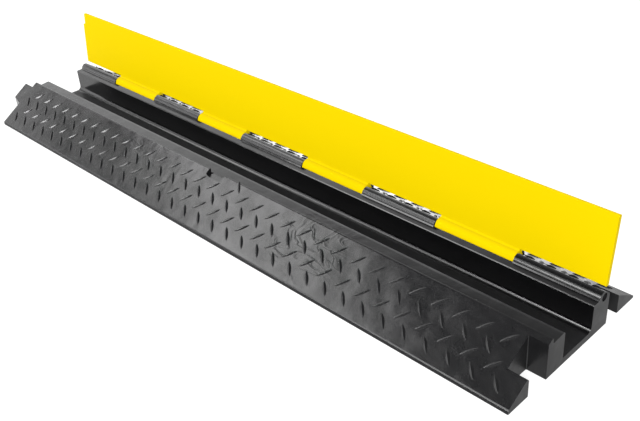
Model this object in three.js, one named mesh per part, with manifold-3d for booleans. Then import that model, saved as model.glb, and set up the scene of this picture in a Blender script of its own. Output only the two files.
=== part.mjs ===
// Floor cord cover: a one-channel rubber cable ramp with a hinged plastic lid.
// Millimetres, +Z up. X runs along the ramp, Y across it.
// The origin is the centre of the underside, at mid-length.
import * as THREE from 'three';
import { ConvexGeometry } from 'three/addons/geometries/ConvexGeometry.js';
import { mergeVertices } from 'three/addons/utils/BufferGeometryUtils.js';
import Module from 'manifold-3d';

// ---------- driving dimensions ----------
const LENGTH = 1000;            // body, without the tabs
const HALF_LENGTH = LENGTH / 2;
const HALF_WIDTH = 120;
const TOE_HEIGHT = 4.8;         // upright lip at the foot of the near ramp
const NEAR_SLOPE = 0.619;       // rise over run of the ramp on the lid's opening side
const NEAR_FOOT = [119, 5.8];   // foot of its slope, distance from the middle and height
const FAR_SLOPE = 0.603;        // the ramp behind the hinge
const FAR_FOOT = [119, 3.6];
const FAR_TOE_HEIGHT = 2.6;
const CREST_HEIGHT = 49.4;
const RISER_Y = -46;            // step that the lid's free edge closes against
const LEDGE_HEIGHT = 43.6;      // inner edge of the ledge, which the closed lid rests on
const LEDGE_FOOT = 42.4;        // the ledge falls slightly towards the riser
const CHANNEL_NEAR_Y = -24.5;
const CHANNEL_FAR_Y = 30;
const FLOOR_HEIGHT = 8.5;
const COVE_RADIUS = 7;
const WALL_TOP = 43;

const HINGE_Y = 51;
const HINGE_Z = 42;
const ROD_RADIUS = 3.5;
const BORE_RADIUS = 3.95;
const BORE_MOUTH_RADIUS = 5;
const BORE_MOUTH_DEPTH = 9;
const ROD_INSET = 3;
const BARREL_RADIUS = 9.3;
const POCKET_RADIUS = 10.1;
const KNUCKLE_EDGES = [-398, -288, -178, -76, 50, 162, 279, 392]; // joints between knuckles and barrels
const SIDE_CLEARANCE = 0.6;     // each side of a barrel

const LID_UNDER = 1.9;          // plate underside above the hinge axis, closed
const LID_OVER = 7.2;           // plate top above the hinge axis, closed
const LID_REACH = 96.3;         // hinge axis to free edge
const LID_CUTOUT = 11.3;        // hinge axis to the cut-out edge over each knuckle
const LID_END = 498.5;
const LID_CORNER_INSET = 5;     // step at the left end of the free edge
const LID_CORNER_RUN = 18.5;
const OPEN_ANGLE = 96;          // degrees from closed to the open stop

const NOTCH_DEPTH = 23.5;
const NOTCH_NEAR = [-86.2, -54.5];
const NOTCH_FAR = [61.5, 84];
const TAB_LENGTH = 22;
const TAB_NEAR_ROOT = [-85.6, -56.2];
const TAB_NEAR_TIP = [-80.5, -56.2];
const TAB_FAR_ROOT = [62.6, 83];
const TAB_FAR_TIP = [62.6, 78.5];
const FINGER_X = [-37, -5];     // scoop under the lid's free edge

const wasm = await Module();
wasm.setup();

// ---------- helpers ----------
const toSolid = (geometry) => {
  let g = geometry.clone();
  g.deleteAttribute('normal');
  g.deleteAttribute('uv');
  g = mergeVertices(g, 1e-4);
  return new wasm.Manifold(new wasm.Mesh({
    numProp: 3,
    vertProperties: new Float32Array(g.attributes.position.array),
    triVerts: new Uint32Array(g.index.array),
  }));
};

const toGeometry = (solid) => {
  const mesh = solid.getMesh();
  const g = new THREE.BufferGeometry();
  g.setAttribute('position', new THREE.BufferAttribute(new Float32Array(mesh.vertProperties), 3));
  g.setIndex(new THREE.BufferAttribute(new Uint32Array(mesh.triVerts), 1));
  g.computeVertexNormals();
  return g;
};

const ALONG_X = new THREE.Matrix4().makeBasis(
  new THREE.Vector3(0, 1, 0), new THREE.Vector3(0, 0, 1), new THREE.Vector3(1, 0, 0));

// a closed (y, z) section drawn along X from x0 to x1
const drawn = (section, x0, x1) => {
  const shape = new THREE.Shape(section.map(([y, z]) => new THREE.Vector2(y, z)));
  const g = new THREE.ExtrudeGeometry(shape, { depth: x1 - x0, bevelEnabled: false, steps: 1 });
  g.applyMatrix4(ALONG_X);
  g.translate(x0, 0, 0);
  return toSolid(g);
};

// a closed (x, y) outline raised from z0 to z1
const raised = (outline, z0, z1) => {
  const shape = new THREE.Shape(outline.map(([x, y]) => new THREE.Vector2(x, y)));
  const g = new THREE.ExtrudeGeometry(shape, { depth: z1 - z0, bevelEnabled: false, steps: 1 });
  g.translate(0, 0, z0);
  return toSolid(g);
};

const round = (radius, x0, x1, y, z, sides) => {
  const g = new THREE.CylinderGeometry(radius, radius, x1 - x0, sides, 1, false);
  g.rotateZ(-Math.PI / 2);
  g.translate((x0 + x1) / 2, y, z);
  return toSolid(g);
};

const nearHeight = (distance) => NEAR_FOOT[1] + (NEAR_FOOT[0] - distance) * NEAR_SLOPE;
const farHeight = (distance) => FAR_FOOT[1] + (FAR_FOOT[0] - distance) * FAR_SLOPE;

// ---------- hinge layout ----------
const edges = [-HALF_LENGTH, ...KNUCKLE_EDGES, HALF_LENGTH];
const knuckles = [];   // rubber, on the base
const barrels = [];    // plastic, on the lid
for (let i = 0; i < edges.length - 1; i += 1) {
  (i % 2 === 0 ? knuckles : barrels).push([edges[i], edges[i + 1]]);
}

// ---------- base ----------
const cove = [];
for (let i = 0; i <= 4; i += 1) {
  const a = (i / 4) * Math.PI / 2;
  cove.push([
    CHANNEL_FAR_Y - COVE_RADIUS + COVE_RADIUS * Math.sin(a),
    FLOOR_HEIGHT + COVE_RADIUS - COVE_RADIUS * Math.cos(a),
  ]);
}

const bodySection = [
  [-HALF_WIDTH, 0], [HALF_WIDTH, 0],
  [HALF_WIDTH, FAR_TOE_HEIGHT], [FAR_FOOT[0], FAR_FOOT[1]],
  [61.5, farHeight(61.5)], [60.9, 41.9], [59.2, WALL_TOP],
  [32.2, WALL_TOP], [30.7, 42.3], [CHANNEL_FAR_Y, 40.8],
  ...cove.reverse(),
  [-23.4, FLOOR_HEIGHT], [CHANNEL_NEAR_Y, 9.6],
  [CHANNEL_NEAR_Y, 41.2], [-25.1, 42.7], [-26.4, LEDGE_HEIGHT],
  [-29, LEDGE_HEIGHT], [-44.6, LEDGE_FOOT], [-45.6, 42.9],
  [RISER_Y, 44], [RISER_Y - 0.1, 48.5], [-46.5, 49.2], [-47.4, CREST_HEIGHT],
  [-49, 48.95], [-51, 47.9], [-53.5, nearHeight(53.5)],
  [-NEAR_FOOT[0], NEAR_FOOT[1]], [-HALF_WIDTH, TOE_HEIGHT],
];

const knuckleSection = [
  [40.3, 34], [61.5, 34], [61.5, farHeight(61.5)], [60.9, 40.4],
  [59.4, 42.7], [56.6, 45.4], [53.4, 47.8], [51, 49.5], [48.6, 50.2], [46.2, 50.1],
  [44.1, 49.2], [42.2, 47.5], [40.8, 45.2], [40.3, 43.6],
];

// low ridge behind each barrel, which the open lid leans on
const stopSection = [
  [58.6, 35], [64, 35], [64, farHeight(64)], [63.4, 42.5],
  [62.6, 46.4], [61.4, 48.4], [59.4, 48.7], [59.1, 46],
];

let base = drawn(bodySection, -HALF_LENGTH, HALF_LENGTH);
for (const [x0, x1] of knuckles) base = base.add(drawn(knuckleSection, x0, x1));
for (const [x0, x1] of barrels) base = base.add(drawn(stopSection, x0, x1));
for (const [x0, x1] of barrels) {
  base = base.subtract(round(POCKET_RADIUS, x0, x1, HINGE_Y, HINGE_Z, 40));
}
base = base.subtract(round(BORE_RADIUS, -HALF_LENGTH - 5, HALF_LENGTH + 5, HINGE_Y, HINGE_Z, 24));
for (const side of [-1, 1]) {
  const outer = side * (HALF_LENGTH + 5);
  const inner = side * (HALF_LENGTH - BORE_MOUTH_DEPTH);
  base = base.subtract(round(BORE_MOUTH_RADIUS, Math.min(inner, outer), Math.max(inner, outer), HINGE_Y, HINGE_Z, 24));
}

// notches in the right end
for (const [y0, y1] of [NOTCH_NEAR, NOTCH_FAR]) {
  base = base.subtract(raised([
    [HALF_LENGTH - NOTCH_DEPTH, y0], [HALF_LENGTH + 5, y0], [HALF_LENGTH + 5, y1], [HALF_LENGTH - NOTCH_DEPTH, y1],
  ], -5, 60));
}

// tabs on the left end, with the ramp's own slope on top
const tab = (root, tip, section) => {
  const block = drawn(section, -HALF_LENGTH - TAB_LENGTH, -HALF_LENGTH + 2);
  const plan = raised([
    [-HALF_LENGTH - TAB_LENGTH - 1, tip[0]], [-HALF_LENGTH - TAB_LENGTH - 1, tip[1]],
    [-HALF_LENGTH, root[1]], [-HALF_LENGTH + 3, root[1]],
    [-HALF_LENGTH + 3, root[0]], [-HALF_LENGTH, root[0]],
  ].reverse(), -5, 60);
  return block.intersect(plan);
};
base = base.add(tab(TAB_NEAR_ROOT, TAB_NEAR_TIP, [
  [-110, 0], [-50, 0], [-50, nearHeight(50)], [-110, nearHeight(110)],
]));
base = base.add(tab(TAB_FAR_ROOT, TAB_FAR_TIP, [
  [55, 0], [110, 0], [110, farHeight(110)], [55, farHeight(55)],
]));

// finger scoop through the near crest, beside mid-length: a wedge, deepest at its left end
// against the lid's free edge and rising to the ledge at its right end
const scoopEnd = (x, backHeight) => [
  [-58.2, nearHeight(58.2)], [-46, backHeight], [-44.4, 42.7], [-44.4, 60], [-58.2, 60],
].map(([y, z]) => new THREE.Vector3(x, y, z));
base = base.subtract(toSolid(new ConvexGeometry([
  ...scoopEnd(FINGER_X[0], 38.3), ...scoopEnd(FINGER_X[1], 42.3),
])));

// ---------- lid, drawn closed about the hinge axis ----------
const plate = (x0, x1, from, to) => drawn([
  [-to, LID_UNDER], [-from, LID_UNDER], [-from, LID_OVER], [-to, LID_OVER],
], x0, x1);

const softEdge = [
  [-LID_REACH, LID_UNDER + 0.8], [-LID_REACH + 0.8, LID_UNDER], [-LID_CUTOUT, LID_UNDER],
  [-LID_CUTOUT, LID_OVER], [-LID_REACH + 1.6, LID_OVER], [-LID_REACH, LID_OVER - 1.6],
];
let lid = drawn(softEdge, -LID_END, LID_END);
for (const [x0, x1] of barrels) {
  const a = x0 + SIDE_CLEARANCE;
  const b = x1 - SIDE_CLEARANCE;
  lid = lid.add(plate(a, b, 0, LID_CUTOUT + 2)).add(round(BARREL_RADIUS, a, b, 0, 0, 36));
}
lid = lid.subtract(round(BORE_RADIUS, -LID_END - 5, LID_END + 5, 0, 0, 24));
lid = lid.subtract(raised([
  [-LID_END - 5, -LID_REACH - 5], [-LID_END + LID_CORNER_INSET, -LID_REACH - 5],
  [-LID_END + LID_CORNER_INSET, -LID_REACH + LID_CORNER_RUN], [-LID_END - 5, -LID_REACH + LID_CORNER_RUN],
], -5, 15));

// ---------- rod ----------
const rod = round(ROD_RADIUS, -HALF_LENGTH + ROD_INSET, HALF_LENGTH - ROD_INSET, 0, 0, 24);

// ---------- scene graph ----------
const rubber = new THREE.MeshStandardMaterial({ color: 0x26272a, roughness: 0.55, metalness: 0 });
const yellow = new THREE.MeshStandardMaterial({ color: 0xfedd02, roughness: 0.45, metalness: 0 });
const steel = new THREE.MeshStandardMaterial({ color: 0x8d8f92, roughness: 0.4, metalness: 1 });

const named = (name, solid, material) => {
  const mesh = new THREE.Mesh(toGeometry(solid), material);
  mesh.name = name;
  return mesh;
};

const ramp = new THREE.Group();
ramp.add(named('base', base, rubber));

const hinge = new THREE.Group();
hinge.position.set(0, HINGE_Y, HINGE_Z);
hinge.add(named('hinge_rod', rod, steel));

const swing = new THREE.Group();
swing.rotation.x = -THREE.MathUtils.degToRad(OPEN_ANGLE);
swing.add(named('lid', lid, yellow));
hinge.add(swing);
ramp.add(hinge);

export default ramp;
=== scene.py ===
import math
import bmesh
import bpy
from mathutils import Matrix, Vector


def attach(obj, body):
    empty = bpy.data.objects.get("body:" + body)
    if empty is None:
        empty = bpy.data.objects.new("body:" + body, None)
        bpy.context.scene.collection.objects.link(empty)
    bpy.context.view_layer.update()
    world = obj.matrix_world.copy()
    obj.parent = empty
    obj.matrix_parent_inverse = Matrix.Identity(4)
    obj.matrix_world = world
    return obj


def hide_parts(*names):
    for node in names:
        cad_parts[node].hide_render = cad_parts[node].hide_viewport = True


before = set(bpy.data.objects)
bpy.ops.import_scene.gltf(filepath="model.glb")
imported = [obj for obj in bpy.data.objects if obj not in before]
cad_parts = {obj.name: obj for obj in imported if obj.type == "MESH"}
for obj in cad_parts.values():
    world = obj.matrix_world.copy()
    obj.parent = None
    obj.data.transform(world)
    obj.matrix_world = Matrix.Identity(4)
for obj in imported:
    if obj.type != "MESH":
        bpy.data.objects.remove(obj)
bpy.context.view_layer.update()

MM = 0.001

# ---------------------------------------------------------------- camera
AZ, EL, ROLL = math.radians(47.405), math.radians(32.518), math.radians(-4.507)
back = Vector((math.sin(AZ) * math.cos(EL), -math.cos(AZ) * math.cos(EL), math.sin(EL)))
right = Vector((math.cos(AZ), math.sin(AZ), 0.0))
up = back.cross(right)
cam_x = math.cos(ROLL) * right + math.sin(ROLL) * up
cam_y = -math.sin(ROLL) * right + math.cos(ROLL) * up
eye = Vector((0.12056, 0.00391, 0.020)) + back * 1.16033
cam_data = bpy.data.cameras.new("camera")
cam_data.sensor_fit = "HORIZONTAL"
cam_data.sensor_width = 36.0
cam_data.lens = 893.61 * 36.0 / 640.0
cam_data.clip_start = 0.05
cam_data.clip_end = 40.0
cam = bpy.data.objects.new("camera", cam_data)
bpy.context.collection.objects.link(cam)
cam.matrix_world = Matrix((
    (cam_x.x, cam_y.x, back.x, eye.x),
    (cam_x.y, cam_y.y, back.y, eye.y),
    (cam_x.z, cam_y.z, back.z, eye.z),
    (0, 0, 0, 1)))
bpy.context.scene.camera = cam
bpy.context.scene.view_settings.view_transform = "Standard"
bpy.context.scene.view_settings.look = "None"

# ---------------------------------------------------------------- dimensions, millimetres, as in the model
HALF = 500.0
HINGE_Y, HINGE_Z = 51.0, 42.0
KNUCKLE_EDGES = [-398, -288, -178, -76, 50, 162, 279, 392]
OPEN = math.radians(96.0)
CREST_Y = -46.0


def near_z(d):
    return 5.8 + (119 - d) * 0.619


def far_z(d):
    return 3.6 + (119 - d) * 0.603


edges = [-HALF] + KNUCKLE_EDGES + [HALF]
knuckles = [(edges[i], edges[i + 1]) for i in range(0, 9, 2)]
barrels = [(edges[i], edges[i + 1]) for i in range(1, 9, 2)]


# ---------------------------------------------------------------- outline helpers
def filleted(points, step=14.0):
    """A closed outline of (a, b, radius) corners, with each corner turned into an arc."""
    out = []
    n = len(points)
    for i in range(n):
        p = Vector(points[i][:2])
        r = points[i][2] if len(points[i]) > 2 else 0.0
        a = Vector(points[i - 1][:2]) - p
        b = Vector(points[(i + 1) % n][:2]) - p
        la, lb = a.length, b.length
        a.normalize()
        b.normalize()
        turn = math.acos(max(-1.0, min(1.0, -a.dot(b))))
        if r <= 0 or turn < math.radians(4):
            out.append((p.x, p.y))
            continue
        t = min(r * math.tan(turn / 2), 0.47 * la, 0.47 * lb)
        r = t / math.tan(turn / 2)
        c = p + (a + b).normalized() * (r / math.cos(turn / 2))
        s, e = p + a * t - c, p + b * t - c
        a0 = math.atan2(s.y, s.x)
        d = math.atan2(e.y, e.x) - a0
        d = (d + math.pi) % (2 * math.pi) - math.pi
        k = max(2, int(math.ceil(math.degrees(abs(d)) / step)))
        for j in range(k + 1):
            w = a0 + d * j / k
            out.append((c.x + r * math.cos(w), c.y + r * math.sin(w)))
    return out


def spline(points, per=3):
    """Catmull-Rom through open (a, b) points."""
    out = []
    n = len(points)
    for i in range(n - 1):
        p0, p1, p2, p3 = (Vector(points[max(0, min(n - 1, i + k))]) for k in (-1, 0, 1, 2))
        for j in range(per):
            t = j / per
            q = 0.5 * (2 * p1 + (p2 - p0) * t + (2 * p0 - 5 * p1 + 4 * p2 - p3) * t * t
                       + (3 * p1 - p0 - 3 * p2 + p3) * t ** 3)
            out.append((q.x, q.y))
    out.append(tuple(points[-1]))
    return out


def area2(outline):
    return sum(outline[i - 1][0] * outline[i][1] - outline[i][0] * outline[i - 1][1] for i in range(len(outline)))


def solid(name, rings, close_ends=True):
    """A closed body from equal rings of 3-D points in millimetres."""
    bm = bmesh.new()
    vs = [[bm.verts.new(Vector(p) * MM) for p in ring] for ring in rings]
    n = len(rings[0])
    for a, b in zip(vs, vs[1:]):
        for i in range(n):
            j = (i + 1) % n
            bm.faces.new((a[i], a[j], b[j], b[i]))
    if close_ends:
        bm.faces.new(list(reversed(vs[0])))
        bm.faces.new(vs[-1])
    bmesh.ops.recalc_face_normals(bm, faces=bm.faces)
    me = bpy.data.meshes.new(name)
    bm.to_mesh(me)
    bm.free()
    ob = bpy.data.objects.new(name, me)
    bpy.context.collection.objects.link(ob)
    return ob


def along_x(name, section, x0, x1):
    return solid(name, [[(x, y, z) for y, z in section] for x in (x0, x1)])


def along_z(name, outline, z0, z1):
    return solid(name, [[(x, y, z) for x, y in outline] for z in (z0, z1)])


def round_x(name, r, x0, x1, y, z, sides=96):
    ring = [(y + r * math.cos(2 * math.pi * (i + 0.5) / sides), z + r * math.sin(2 * math.pi * (i + 0.5) / sides))
            for i in range(sides)]
    return along_x(name, ring, x0, x1)


def settle(ob):
    """Applies the modifiers."""
    dg = bpy.context.evaluated_depsgraph_get()
    dg.update()
    me = bpy.data.meshes.new_from_object(ob.evaluated_get(dg))
    old = ob.data
    ob.modifiers.clear()
    ob.data = me
    bpy.data.meshes.remove(old)


def combine(ob, other, operation):
    m = ob.modifiers.new("cut", "BOOLEAN")
    m.operation = operation
    m.solver = "MANIFOLD"
    m.object = other
    settle(ob)
    me = other.data
    bpy.data.objects.remove(other)
    bpy.data.meshes.remove(me)


def join(obs, name):
    """One object from several whose bodies stay separate."""
    bm = bmesh.new()
    for o in obs:
        bm.from_mesh(o.data)
    me = bpy.data.meshes.new(name)
    bm.to_mesh(me)
    bm.free()
    for o in obs:
        d = o.data
        bpy.data.objects.remove(o)
        bpy.data.meshes.remove(d)
    ob = bpy.data.objects.new(name, me)
    bpy.context.collection.objects.link(ob)
    return ob


def tidy(ob, angle=0.3):
    """Merges the flat pieces that the cuts leave."""
    bm = bmesh.new()
    bm.from_mesh(ob.data)
    bmesh.ops.remove_doubles(bm, verts=bm.verts, dist=0.00002)
    bmesh.ops.dissolve_limit(bm, angle_limit=math.radians(angle), verts=bm.verts, edges=bm.edges)
    bm.to_mesh(ob.data)
    bm.free()


def soften(ob, width, angle, segments=2):
    m = ob.modifiers.new("soft", "BEVEL")
    m.width = width * MM
    m.segments = segments
    m.limit_method = "ANGLE"
    m.angle_limit = math.radians(angle)
    m.use_clamp_overlap = True
    m.miter_outer = "MITER_ARC"
    m.profile = 0.5
    settle(ob)


def shade(ob, angle=32.0):
    ob.data.shade_smooth()
    ob.data.set_sharp_from_angle(angle=math.radians(angle))
    m = ob.modifiers.new("normals", "WEIGHTED_NORMAL")
    m.mode = "FACE_AREA"
    m.weight = 60
    m.keep_sharp = True


# ---------------------------------------------------------------- materials
def new_material(name):
    m = bpy.data.materials.new(name)
    m.use_nodes = True
    nt = m.node_tree
    bsdf = nt.nodes["Principled BSDF"]
    return m, nt, bsdf


def noise(nt, scale, detail=3.0, rough=0.5, distortion=0.0, vector=None, loc=(0, 0, 0), stretch=(1, 1, 1)):
    tc = nt.nodes.new("ShaderNodeTexCoord")
    mp = nt.nodes.new("ShaderNodeMapping")
    mp.inputs["Location"].default_value = loc
    mp.inputs["Scale"].default_value = stretch
    nt.links.new(tc.outputs["Object"], mp.inputs["Vector"])
    n = nt.nodes.new("ShaderNodeTexNoise")
    n.inputs["Scale"].default_value = scale
    n.inputs["Detail"].default_value = detail
    n.inputs["Roughness"].default_value = rough
    n.inputs["Distortion"].default_value = distortion
    nt.links.new(mp.outputs["Vector"], n.inputs["Vector"])
    return n


def ramp(nt, source, stops):
    r = nt.nodes.new("ShaderNodeValToRGB")
    r.color_ramp.interpolation = "LINEAR"
    while len(r.color_ramp.elements) < len(stops):
        r.color_ramp.elements.new(0.5)
    for e, (pos, col) in zip(r.color_ramp.elements, stops):
        e.position = pos
        e.color = (*col, 1.0) if len(col) == 3 else col
    nt.links.new(source, r.inputs["Fac"])
    return r


def grey(v):
    return (v, v, v)


def mixed(nt, a, b, fac_a=0.5):
    m = nt.nodes.new("ShaderNodeMath")
    m.operation = "MULTIPLY_ADD"
    m.inputs[1].default_value = fac_a
    nt.links.new(a, m.inputs[0])
    s = nt.nodes.new("ShaderNodeMath")
    s.operation = "MULTIPLY"
    s.inputs[1].default_value = 1 - fac_a
    nt.links.new(b, s.inputs[0])
    nt.links.new(s.outputs[0], m.inputs[2])
    return m.outputs[0]


def rubber(name, dark, light, rough_lo, rough_hi, bump, wave, seed, flow=()):
    m, nt, bsdf = new_material(name)
    broad = noise(nt, 7.5, 4.0, 0.55, 0.5, loc=(seed, 0.3, 0.1), stretch=(1, 1.5, 1))
    cloudy = noise(nt, 42.0, 5.0, 0.6, 0.8, loc=(0.2, seed, 0.4))
    both = mixed(nt, broad.outputs["Fac"], cloudy.outputs["Fac"], 0.6)
    col = ramp(nt, both, [(0.36, dark), (0.64, light)])
    nt.links.new(col.outputs["Color"], bsdf.inputs["Base Color"])
    rgh = ramp(nt, both, [(0.36, grey(rough_hi)), (0.64, grey(rough_lo))])
    nt.links.new(rgh.outputs["Color"], bsdf.inputs["Roughness"])
    # slow unevenness of the moulded skin, then its fine grain
    swell = noise(nt, 26.0, 2.0, 0.45, 0.3, loc=(0.7, 0.1, seed))
    b1 = nt.nodes.new("ShaderNodeBump")
    b1.inputs["Strength"].default_value = wave
    b1.inputs["Distance"].default_value = 0.003
    nt.links.new(swell.outputs["Fac"], b1.inputs["Height"])
    below = b1
    for place, reach, depth in flow:
        # flow lines where the rubber streams met
        veins = noise(nt, 21.0, 1.5, 0.5, 1.6, loc=(0.3, 0.2, seed), stretch=(0.8, 1.9, 1))
        ridge = ramp(nt, veins.outputs["Fac"], [(0.40, grey(0.0)), (0.45, grey(1.0)), (0.49, grey(0.1)), (0.53, grey(0.7)),
                                                (0.58, grey(0.0))])
        tc = nt.nodes.new("ShaderNodeTexCoord")
        dist = nt.nodes.new("ShaderNodeVectorMath")
        dist.operation = "DISTANCE"
        dist.inputs[1].default_value = place
        nt.links.new(tc.outputs["Object"], dist.inputs[0])
        near = nt.nodes.new("ShaderNodeMapRange")
        near.inputs["From Min"].default_value = reach
        near.inputs["From Max"].default_value = reach * 0.45
        nt.links.new(dist.outputs["Value"], near.inputs["Value"])
        amount = nt.nodes.new("ShaderNodeMath")
        amount.operation = "MULTIPLY"
        nt.links.new(ridge.outputs["Color"], amount.inputs[0])
        nt.links.new(near.outputs["Result"], amount.inputs[1])
        bf = nt.nodes.new("ShaderNodeBump")
        bf.inputs["Strength"].default_value = 0.9
        bf.inputs["Distance"].default_value = depth
        nt.links.new(amount.outputs[0], bf.inputs["Height"])
        nt.links.new(below.outputs["Normal"], bf.inputs["Normal"])
        below = bf
    grain = noise(nt, 330.0, 4.0, 0.55)
    fine = noise(nt, 1100.0, 3.0, 0.6)
    h = mixed(nt, grain.outputs["Fac"], fine.outputs["Fac"], 0.65)
    b2 = nt.nodes.new("ShaderNodeBump")
    b2.inputs["Strength"].default_value = bump
    b2.inputs["Distance"].default_value = 0.0003
    nt.links.new(h, b2.inputs["Height"])
    nt.links.new(below.outputs["Normal"], b2.inputs["Normal"])
    nt.links.new(b2.outputs["Normal"], bsdf.inputs["Normal"])
    bsdf.inputs["IOR"].default_value = 1.52
    return m


rubber_ramp = rubber("rubber_ramp", (0.009, 0.009, 0.0095), (0.017, 0.017, 0.018), 0.13, 0.27, 0.20, 0.24, 2.7,
                     flow=(((0.175, -0.074, 0.034), 0.075, 0.00015), ((-0.16, -0.062, 0.04), 0.06, 0.00004),
                           ((0.43, -0.06, 0.042), 0.06, 0.00003)))
# a much darker copy of the ramp rubber for the channel's walls: painted shade of the recess
rubber_channel_painted_shade = rubber("rubber_channel_painted_shade", (0.003, 0.003, 0.0032), (0.0055, 0.0055, 0.006), 0.15, 0.24, 0.08, 0.12, 5.1)
rubber_edge = rubber("rubber_edge", (0.010, 0.010, 0.0105), (0.020, 0.020, 0.021), 0.34, 0.50, 0.30, 0.20, 8.4)
rubber_edge.node_tree.nodes["Principled BSDF"].inputs["Specular IOR Level"].default_value = 0.22
# a darker copy of the rubber for the wall top under the lid's barrels and the right knuckle's front: painted shade
rubber_rim_painted_shade = rubber("rubber_rim_painted_shade", (0.006, 0.006, 0.0065), (0.012, 0.012, 0.0125), 0.14, 0.26, 0.20, 0.24, 1.9)
rubber_rim_painted_shade.node_tree.nodes["Principled BSDF"].inputs["Specular IOR Level"].default_value = 0.30
rubber_floor = rubber("rubber_floor", (0.008, 0.008, 0.0085), (0.014, 0.014, 0.015), 0.36, 0.50, 0.20, 0.20, 6.3)
rubber_floor.node_tree.nodes["Principled BSDF"].inputs["Specular IOR Level"].default_value = 0.25
rubber_polished = rubber("rubber_polished", (0.010, 0.010, 0.0105), (0.018, 0.018, 0.019), 0.10, 0.17, 0.12, 0.14, 3.3)
rubber_polished.node_tree.nodes["Principled BSDF"].inputs["Specular IOR Level"].default_value = 0.65


def make_yellow():
    m, nt, bsdf = new_material("yellow_plastic")
    broad = noise(nt, 7.0, 3.0, 0.5, loc=(0.4, 0.9, 0.2))
    fine = noise(nt, 700.0, 3.0, 0.6)
    col = ramp(nt, broad.outputs["Fac"], [(0.35, (0.970, 0.712, 0.0008)), (0.65, (0.975, 0.718, 0.0009))])
    nt.links.new(col.outputs["Color"], bsdf.inputs["Base Color"])
    rgh = ramp(nt, broad.outputs["Fac"], [(0.35, grey(0.52)), (0.65, grey(0.44))])
    nt.links.new(rgh.outputs["Color"], bsdf.inputs["Roughness"])
    bp = nt.nodes.new("ShaderNodeBump")
    bp.inputs["Strength"].default_value = 0.16
    bp.inputs["Distance"].default_value = 0.0002
    nt.links.new(fine.outputs["Fac"], bp.inputs["Height"])
    nt.links.new(bp.outputs["Normal"], bsdf.inputs["Normal"])
    bsdf.inputs["Specular IOR Level"].default_value = 0.02
    return m


def make_steel():
    m, nt, bsdf = new_material("drawn_steel")
    streak = noise(nt, 300.0, 3.0, 0.5, stretch=(0.02, 1, 1))
    col = ramp(nt, streak.outputs["Fac"], [(0.3, (0.42, 0.43, 0.44)), (0.7, (0.60, 0.61, 0.62))])
    nt.links.new(col.outputs["Color"], bsdf.inputs["Base Color"])
    rgh = ramp(nt, streak.outputs["Fac"], [(0.3, grey(0.42)), (0.7, grey(0.28))])
    nt.links.new(rgh.outputs["Color"], bsdf.inputs["Roughness"])
    bsdf.inputs["Metallic"].default_value = 1.0
    return m


yellow_plastic = make_yellow()
drawn_steel = make_steel()

# ---------------------------------------------------------------- base, the rubber moulding
body_section = filleted([
    (-120, 0, 0.6), (120, 0, 0.6), (120, 2.7, 0.7), (119, 3.6, 1.0),
    (61.5, far_z(61.5), 0.6), (61.3, 41.6, 1.0), (60.2, 43, 1.2),
    (31.1, 43, 0.3), (30.0, 42.05, 0.4), (30, 8.5, 6.8), (-24.5, 8.5, 1.2), (-24.5, 43.6, 2.1),
    (-29, 43.6, 1.5), (-44.8, 42.35, 0.9), (-46, 43.2, 0.8), (-46.0, 49.4, 1.1),
    (-48.56, 49.4, 4.0), (-118.6, near_z(118.6), 1.0), (-120, 4.9, 0.9)], step=11)

knuckle_top = spline([
    (61.5, 38.3), (60.9, 40.4), (59.4, 42.7), (56.6, 45.4), (53.4, 47.8), (51, 49.5), (48.6, 50.2), (46.2, 50.1),
    (44.1, 49.2), (42.2, 47.5), (40.95, 45.4), (40.7, 44.3)], per=3)
knuckle_section = [(39.1, 34), (61.5, 34)] + knuckle_top + [(39.1, 42.9)]

stop_section = filleted([
    (58.6, 35, 0), (64, 35, 0), (64, far_z(64), 0.5), (63.4, 42.5, 1.5), (62.6, 46.4, 1.2),
    (61.4, 48.4, 0.9), (59.4, 48.7, 0.8), (59.1, 46, 0.5)], step=15)

base = along_x("base_moulding", body_section, -HALF, HALF)
combine(base, join([along_x("k", knuckle_section, x0, x1) for x0, x1 in knuckles], "knuckles"), "UNION")
combine(base, join([along_x("s", stop_section, x0 + 0.02, x1 - 0.02) for x0, x1 in barrels], "stops"), "UNION")
combine(base, join([round_x("p", 10.1, x0, x1, HINGE_Y, HINGE_Z, 120) for x0, x1 in barrels], "pockets"), "DIFFERENCE")
combine(base, round_x("bore", 3.95, -HALF - 5, HALF + 5, HINGE_Y, HINGE_Z, 64), "DIFFERENCE")
for side in (-1, 1):
    a, b = sorted((side * (HALF + 5), side * (HALF - 9)))
    combine(base, round_x("mouth", 5.0, a, b, HINGE_Y, HINGE_Z, 64), "DIFFERENCE")
for y0, y1 in ((-86.2, -54.5), (61.5, 84.0)):
    combine(base, along_z("notch", filleted([
        (HALF - 23.5, y0, 1.2), (HALF + 5, y0), (HALF + 5, y1), (HALF - 23.5, y1, 1.2)]), -5, 60), "DIFFERENCE")


def tab(root, tip, section):
    block = along_x("tab", section, -HALF - 22, -HALF + 2)
    plan = along_z("plan", filleted([
        (-HALF - 23, tip[0]), (-HALF - 23, tip[1]), (-HALF, root[1]), (-HALF + 3, root[1]),
        (-HALF + 3, root[0]), (-HALF, root[0])]), -5, 60)
    combine(block, plan, "INTERSECT")
    return block


combine(base, tab((-85.6, -56.2), (-80.5, -56.2), [
    (-110, 0), (-50, 0), (-50, near_z(50)), (-110, near_z(110))]), "UNION")
combine(base, tab((62.6, 83), (62.6, 78.5), [
    (55, 0), (110, 0), (110, far_z(110)), (55, far_z(55))]), "UNION")
def scoop_ring(x, front, low):
    return [(x, -front, near_z(front)), (x, -46, low), (x, -44.4, 42.7), (x, -44.4, 60), (x, -front, 60)]


combine(base, solid("scoop", [scoop_ring(-37 + 4 * i, (55.0, 56.6, 57.6)[min(i, 2)], 38.6 if i == 0 else 42.3)
                              for i in range(9)]), "DIFFERENCE")
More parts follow.
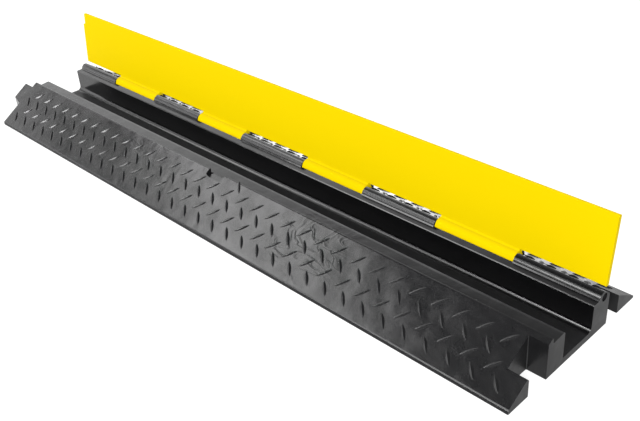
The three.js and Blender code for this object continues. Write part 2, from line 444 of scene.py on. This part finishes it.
# the toe's rounded corner beside the notch
corner = along_x("corner", [(-98, 17), (-85.5, 17), (-85.5, 34), (-98, 34)], HALF - 23.48, HALF + 1)
combine(corner, along_x("toe", filleted([
    (-110, 5), (-86.18, 5), (-86.18, near_z(86.18) + 0.03, 3.0), (-110, near_z(110) + 0.03)]), HALF - 30, HALF + 5),
    "DIFFERENCE")
combine(base, corner, "DIFFERENCE")
tidy(base)
soften(base, 0.55, 38, 2)


# ---------------------------------------------------------------- tread bars
RIDGE = [(0.64, 0, 0.42), (0.30, 0, 0.80), (0.14, 0, 0.94)]
ROUNDED = [(0.95, 0, 0.35), (0.84, 0, 0.66), (0.66, 0, 0.87), (0.38, 0, 0.975)]


def bar_rings(length, width, height, sink=0.7, n=11, blunt=2.0, flank=RIDGE):
    """A long low bar, lens-shaped in plan, standing on the plane w = 0: rings of (u, v, w)."""
    half = [(1, -sink, 0), (1, 0, 0)] + flank
    prof = [(-k, low, f) for k, low, f in half] + [(0, 0, 1.0)] + list(reversed(half))
    rings = []
    for i in range(n):
        t = -1 + 2 * i / (n - 1)
        s = math.sin(t * math.pi / 2)
        w = max(0.16, (1 - abs(s) ** blunt) ** 0.70) * width / 2
        h = max(0.12, (1 - abs(s) ** (blunt + 0.6)) ** 0.66) * height
        rings.append([(s * length / 2, k * w, low + f * h) for k, low, f in prof])
    return rings


BAR = bar_rings(22.0, 4.3, 1.35, blunt=2.4)
LENS = bar_rings(20.6, 5.2, 1.65, blunt=1.9)


def bars(name, places):
    """places: (origin, along, across, out, rings) for each bar, millimetres."""
    bm = bmesh.new()
    for origin, u, v, w, rings in places:
        rows = [[bm.verts.new((origin + u * p[0] + v * p[1] + w * p[2]) * MM) for p in ring] for ring in rings]
        n = len(rings[0])
        fs = []
        for a, b in zip(rows, rows[1:]):
            for i in range(n):
                j = (i + 1) % n
                fs.append(bm.faces.new((a[i], a[j], b[j], b[i])))
        fs.append(bm.faces.new(list(reversed(rows[0]))))
        fs.append(bm.faces.new(rows[-1]))
    bmesh.ops.recalc_face_normals(bm, faces=bm.faces)
    me = bpy.data.meshes.new(name)
    bm.to_mesh(me)
    bm.free()
    ob = bpy.data.objects.new(name, me)
    bpy.context.collection.objects.link(ob)
    return ob


def placed(origin, along, across, normal, degrees, rings=None):
    a = math.radians(degrees)
    u = along * math.cos(a) + across * math.sin(a)
    v = normal.cross(u)
    return origin, u, v, normal, rings or (BAR if abs(degrees) < 47 else LENS)


SLANT_X = [-465 + 27.75 * k + 0.0375 * k * k for k in range(-1, 35)]
UPRIGHT_X = [-481.2 + 27.8 * k + 0.0355 * k * k for k in range(0, 36)]


def slope_bars(side, foot, slope, start_y, rows, skip):
    run = math.hypot(1, slope)
    down = Vector((0, side / run, -slope / run))
    normal = Vector((0, side * slope / run, 1 / run))
    along = Vector((1, 0, 0))
    out = []
    for s, kind in rows:
        y = start_y + side * s / run
        z = foot[1] + (foot[0] - abs(y)) * slope
        for x in (SLANT_X if kind == "slant" else UPRIGHT_X):
            if abs(x) > 484 or skip(x, y):
                continue
            out.append(placed(Vector((x, y, z)), along, down, normal, -46 if kind == "slant" else 49))
    return out


def near_skip(x, y):
    in_notch = x > 466 and -95 < y < -47
    in_scoop = -45 < x < 3 and y > -58
    return in_notch or in_scoop


def far_skip(x, y):
    return x > 466 and 53 < y < 93


near_rows = [(21.5, "slant"), (37.3, "upright"), (53.3, "slant"), (69.3, "upright")]
near_places = slope_bars(-1, (119, 5.8), 0.619, -46.0, near_rows, near_skip)
run = math.hypot(1, 0.619)
near_places.append(placed(Vector((29.5, -52.6, near_z(52.6) - 0.35)), Vector((1, 0, 0)),
                          Vector((0, -1 / run, -0.619 / run)), Vector((0, -0.619 / run, 1 / run)), 49))
far_rows = [(13.5, "upright"), (29.5, "slant"), (45.5, "upright"), (61.0, "slant")]
far_places = slope_bars(1, (119, 3.6), 0.603, 61.5, [(s - 2.0, k) for s, k in far_rows], far_skip)
shoulder_run = math.hypot(1, 0.93)
shoulder = Vector((0, 1 / shoulder_run, -0.93 / shoulder_run)), Vector((0, 0.93 / shoulder_run, 1 / shoulder_run))
SHORT = bar_rings(13.0, 3.4, 2.2, flank=ROUNDED)
shoulder_places = []
for x0, x1 in knuckles:
    n = int((x1 - x0 - 12) / 13.9)
    for i in range(n + 1):
        x = (x0 + x1) / 2 + (i - n / 2) * 13.9
        if abs(x) < 490:
            shoulder_places.append(placed(Vector((x, 56.0, 45.75)), Vector((1, 0, 0)), shoulder[0], shoulder[1],
                                          -42 if i % 2 else 48, SHORT))
combine(base, bars("near_tread", near_places), "UNION")
combine(base, bars("shoulder_tread", shoulder_places), "UNION")
combine(base, bars("far_tread", far_places), "UNION")

base.data.materials.clear()
base.data.materials.append(rubber_ramp)
base.data.materials.append(rubber_channel_painted_shade)
base.data.materials.append(rubber_edge)
base.data.materials.append(rubber_rim_painted_shade)
base.data.materials.append(rubber_floor)
base.data.materials.append(rubber_polished)
for p in base.data.polygons:
    c, n = p.center / MM, p.normal
    # the channel's walls take the darker rubber: painted shade
    shaded_channel_mask = -24.9 < c.y < 30.6 and 8.0 < c.z < 41.4 and abs(c.x) < 499.2
    lip = n.y < -0.8 and c.y < -119 or n.y > 0.8 and c.y > 118.9 or c.x > 476.6 and c.y > 83.9
    # the wall top under the barrels and the right knuckle's front take the darker rubber: painted shade
    rim = 31.6 < c.y < 41 and 42.4 < c.z < 43.6 or c.x > 392 and 40.5 < c.y < 50 and c.z > 44.4
    bed = -24.9 < c.y < 23.2 and c.z < 9.6 and n.z > 0.9
    edge = 30.0 < c.y < 31.8 and 41.3 < c.z < 43.2 and abs(n.x) < 0.5 or 38.9 < c.y < 40.8 and 43.02 < c.z < 44.3
    p.material_index = (5 if edge else 4 if bed else 1 if shaded_channel_mask else 2 if abs(n.x) > 0.8 and c.x > 470 or lip
                        else 3 if rim else 0)
shade(base)
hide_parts("base")
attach(base, "base")

# ---------------------------------------------------------------- lid, drawn closed about the hinge axis
plate = filleted([
    (-96.3, 1.9, 0.9), (-11.3, 1.9, 0.6), (-11.3, 7.2, 0.9), (-96.3, 7.2, 1.6)], step=18)
lid = along_x("lid_moulding", plate, -498.5, 498.5)

R = 9.3
f = 2.5
cy = -math.sqrt((R + f) ** 2 - (1.9 - f) ** 2)
barrel_section = [(-16.0, 7.2), (-16.0, 1.9)]
a0, a1 = math.pi / 2, math.atan2(-(1.9 - f), -cy)
for i in range(7):
    w = a0 + (a1 - a0) * i / 6
    barrel_section.append((cy + f * math.cos(w), 1.9 - f + f * math.sin(w)))
start = math.atan2(1.9 - f, cy)
end = math.atan2(7.2, -math.sqrt(R * R - 7.2 ** 2))
if start < 0:
    start += 2 * math.pi
steps = 46
for i in range(1, steps + 1):
    w = start + (end + 2 * math.pi - start) * i / steps if end < start else start + (end - start) * i / steps
    barrel_section.append((R * math.cos(w), R * math.sin(w)))
combine(lid, join([along_x("b", barrel_section, x0 + 0.6, x1 - 0.6) for x0, x1 in barrels], "barrels"), "UNION")
combine(lid, round_x("bore", 3.95, -505, 505, 0, 0, 64), "DIFFERENCE")
combine(lid, along_z("corner", filleted([
    (-505, -101), (-493.5, -101), (-493.5, -77.8, 1.2), (-505, -77.8)]), -5, 15), "DIFFERENCE")
tidy(lid)
soften(lid, 0.7, 40, 3)
lid_places = []
for y, kind in ((-83.5, "slant"), (-67.5, "upright"), (-51.5, "slant"), (-35.5, "upright"), (-20.5, "slant")):
    for x in (SLANT_X if kind == "slant" else UPRIGHT_X):
        if abs(x) > 482:
            continue
        lid_places.append(placed(Vector((x, y, 7.2)), Vector((1, 0, 0)), Vector((0, 1, 0)), Vector((0, 0, 1)),
                                 46 if kind == "slant" else -49))
combine(lid, bars("lid_tread", lid_places), "UNION")
turn = Matrix.Translation(Vector((0, HINGE_Y, HINGE_Z)) * MM) @ Matrix.Rotation(-OPEN, 4, "X")
lid.data.transform(turn)
lid.data.materials.clear()
lid.data.materials.append(yellow_plastic)
shade(lid)
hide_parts("lid")
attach(lid, "lid")
lid.visible_glossy = False
lid.visible_diffuse = False

# ---------------------------------------------------------------- rod
rings = []
for x, r in ((-497, 2.9), (-496.4, 3.5), (496.4, 3.5), (497, 2.9)):
    rings.append([(x, HINGE_Y + r * math.cos(2 * math.pi * i / 48), HINGE_Z + r * math.sin(2 * math.pi * i / 48))
                  for i in range(48)])
rod = solid("rod_turned", rings)
rod.data.materials.append(drawn_steel)
shade(rod, 30)
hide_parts("hinge_rod")
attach(rod, "base")

# ---------------------------------------------------------------- floor, world and lights
floor_mat, nt, bsdf = new_material("pale_floor")
bsdf.inputs["Base Color"].default_value = (0.40, 0.40, 0.40, 1)
bsdf.inputs["Roughness"].default_value = 0.9
bsdf.inputs["Specular IOR Level"].default_value = 0.0
bsdf.inputs["Emission Color"].default_value = (1, 1, 1, 1)
bsdf.inputs["Emission Strength"].default_value = 0.86
bm = bmesh.new()
bmesh.ops.create_grid(bm, x_segments=1, y_segments=1, size=9.0)
me = bpy.data.meshes.new("floor")
bm.to_mesh(me)
bm.free()
floor = bpy.data.objects.new("floor", me)
floor.location = (0, 0, -0.0002)
floor.data.materials.append(floor_mat)
bpy.context.collection.objects.link(floor)
floor.visible_diffuse = False
floor.visible_glossy = False

# a white studio: even for what it lights, and for what mirrors in the rubber
# a bright band on the left, dark overhead and dark behind the camera
world = bpy.data.worlds.new("studio")
world.use_nodes = True
bpy.context.scene.world = world
wt = world.node_tree
bg = wt.nodes["Background"]
bg.inputs["Color"].default_value = (1, 1, 1, 1)


def wmath(op, a, b=None, c=None):
    n = wt.nodes.new("ShaderNodeMath")
    n.operation = op
    for i, v in enumerate((a, b, c)):
        if v is None:
            continue
        if isinstance(v, (int, float)):
            n.inputs[i].default_value = v
        else:
            wt.links.new(v, n.inputs[i])
    return n.outputs[0]


def wstep(value, lo, hi):
    n = wt.nodes.new("ShaderNodeMapRange")
    n.interpolation_type = "SMOOTHSTEP"
    n.inputs["From Min"].default_value = lo
    n.inputs["From Max"].default_value = hi
    wt.links.new(value, n.inputs["Value"])
    return n.outputs["Result"]


def wramp(value, stops, scale):
    r = ramp(wt, value, [(z, grey(v / scale)) for z, v in stops])
    return wmath("MULTIPLY", r.outputs["Color"], scale)


def wmix(a, b, f):
    return wmath("ADD", wmath("MULTIPLY", wmath("SUBTRACT", 1.0, f), a), wmath("MULTIPLY", f, b))


where = wt.nodes.new("ShaderNodeTexCoord")
axes = wt.nodes.new("ShaderNodeSeparateXYZ")
wt.links.new(where.outputs["Generated"], axes.inputs[0])
dx, dy, dz = axes.outputs
front = wramp(dz, [(0.0, 1.1), (0.40, 1.8), (0.50, 2.2), (0.545, 0.0), (0.615, 0.0), (0.65, 5.6), (0.745, 5.6), (0.785, 0.05)], 6.0)
rear = wramp(dz, [(0.0, 1.3), (0.34, 1.0), (0.40, 2.2), (0.47, 1.7), (0.56, 1.6), (0.62, 1.25), (0.70, 0.3)], 3.0)
glossy = wmix(front, rear, wstep(dy, 0.05, 0.20))
glossy = wmix(glossy, wramp(dz, [(0.0, 0.75), (0.3, 0.5), (0.5, 0.12)], 1.0), wstep(dx, -0.38, 0.05))
glossy = wmix(glossy, 0.45, wmath("MULTIPLY", wstep(dy, 0.56, 0.72), wstep(dx, -0.54, -0.42)))
window = wmath("MULTIPLY", wmath("SUBTRACT", 1.0, wstep(dy, -0.56, -0.40)), wmath("SUBTRACT", 1.0, wstep(dx, -0.40, -0.20)))
window = wmath("MULTIPLY", window, wmath("SUBTRACT", 1.0, wstep(dz, 0.58, 0.74)))
glossy = wmix(glossy, 2.4, window)
# a strobe beside the camera, which only the tread bars' flanks and rounded corners mirror
aim = Vector((-0.27, -0.84, 0.475)).normalized()
facing = wmath("ADD", wmath("ADD", wmath("MULTIPLY", dx, aim.x), wmath("MULTIPLY", dy, aim.y)), wmath("MULTIPLY", dz, aim.z))
glossy = wmix(glossy, 24.0, wstep(facing, 0.977, 0.991))
# below the horizon: the pale floor, bright behind the part and duller in front
behind = wmix(wmix(2.5, 1.2, wstep(dx, -0.46, -0.39)), 0.4, wstep(dx, -0.37, -0.33))
below = wmix(wmix(0.45, behind, wstep(dy, 0.0, 0.45)), 0.95, wstep(dx, -0.1, 0.2))
below = wmix(1.2, below, wstep(dx, -0.80, -0.70))
glossy = wmix(below, glossy, wstep(dz, -0.03, 0.03))
path = wt.nodes.new("ShaderNodeLightPath")
level = wmix(0.52, glossy, path.outputs["Is Glossy Ray"])
level = wmix(level, 1.4, path.outputs["Is Camera Ray"])
wt.links.new(level, bg.inputs["Strength"])


for side, energy, towards in (("front", 2.34, (0.35, -0.78, 0.50)), ("back", 1.8, (-0.25, 0.95, 0.12))):
    sun = bpy.data.lights.new(side, "SUN")
    sun.energy = energy
    sun.angle = math.radians(30)
    lamp = bpy.data.objects.new(side, sun)
    lamp.rotation_euler = Vector(towards).to_track_quat("Z", "Y").to_euler()
    bpy.context.collection.objects.link(lamp)
    lamp.visible_glossy = False

# ---------------------------------------------------------------- end
bpy.context.view_layer.update()
